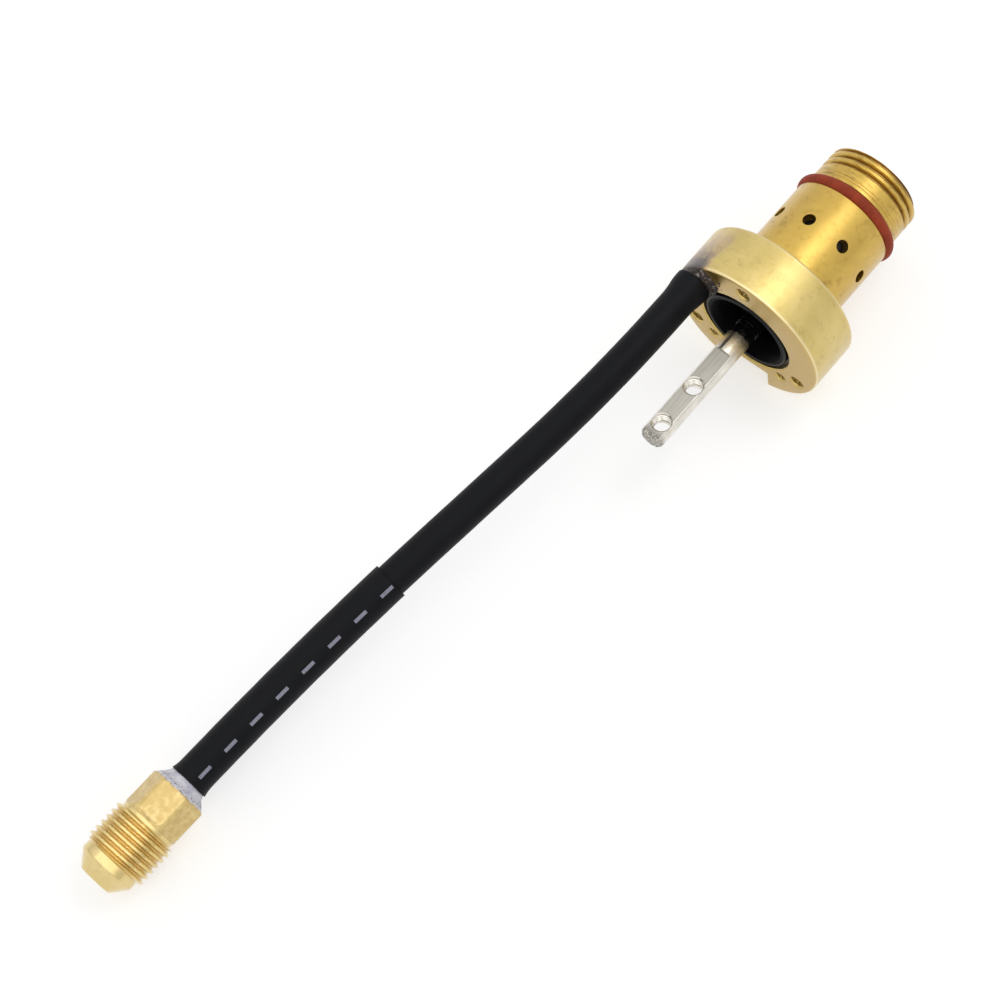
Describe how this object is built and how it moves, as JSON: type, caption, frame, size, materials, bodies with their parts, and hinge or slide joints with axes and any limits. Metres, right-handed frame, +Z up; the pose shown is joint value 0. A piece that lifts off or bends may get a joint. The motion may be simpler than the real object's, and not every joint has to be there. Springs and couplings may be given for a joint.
{
  "type": "welding torch head",
  "caption": "Flanged brass torch head with an insulated centre terminal, a threaded nose with gas holes, and a curved, sleeved gas tube that ends in a flare fitting.",
  "frame": {"origin": "centre of the flange's rear face, on the torch axis", "axes": "+X along the torch axis towards the nose, +Z up with the flange's notch straight down, +Y towards the side that the gas tube leaves from"},
  "size_m": [0.2323, 0.0607, 0.0392],
  "materials": {
    "flange_brass": "satin, mottled by the brazing heat",
    "barrel_brass": "turned, semi-bright",
    "red_seal": "matt",
    "spring_steel": "oiled, dark",
    "black_insulator": "glossy",
    "black_seal": "matt",
    "dark_insulator": "matt",
    "cathode_brass": "turned",
    "terminal_plate": "nickel plate, dull",
    "hardware_steel": "zinc plate",
    "tube_copper": "drawn copper",
    "burnt_braze": "rough, heat-blackened",
    "shrink_sleeve": "satin",
    "fitting_brass": "bright turned",
    "white_flux": "rough, powdery flux over braze"
  },
  "bodies": {
    "root": {"flange_ring": "flange_brass", "nose_barrel": "barrel_brass", "nose_o_ring": "red_seal", "retaining_ring": "spring_steel", "insulator_cup": "black_insulator", "cup_o_ring": "black_seal", "front_insulator": "dark_insulator", "insulator_o_ring": "black_seal", "cathode_body": "cathode_brass", "cathode_o_rings": "black_seal", "terminal_stem": "terminal_plate", "stem_sleeve": "black_insulator", "stem_nut": "hardware_steel", "stem_washer": "hardware_steel", "gas_tube": "tube_copper", "tube_braze": "burnt_braze", "heat_shrink_inner": "shrink_sleeve", "heat_shrink_outer": "shrink_sleeve", "flare_fitting": "fitting_brass", "fitting_braze": "white_flux"}
  },
  "joints": []
}
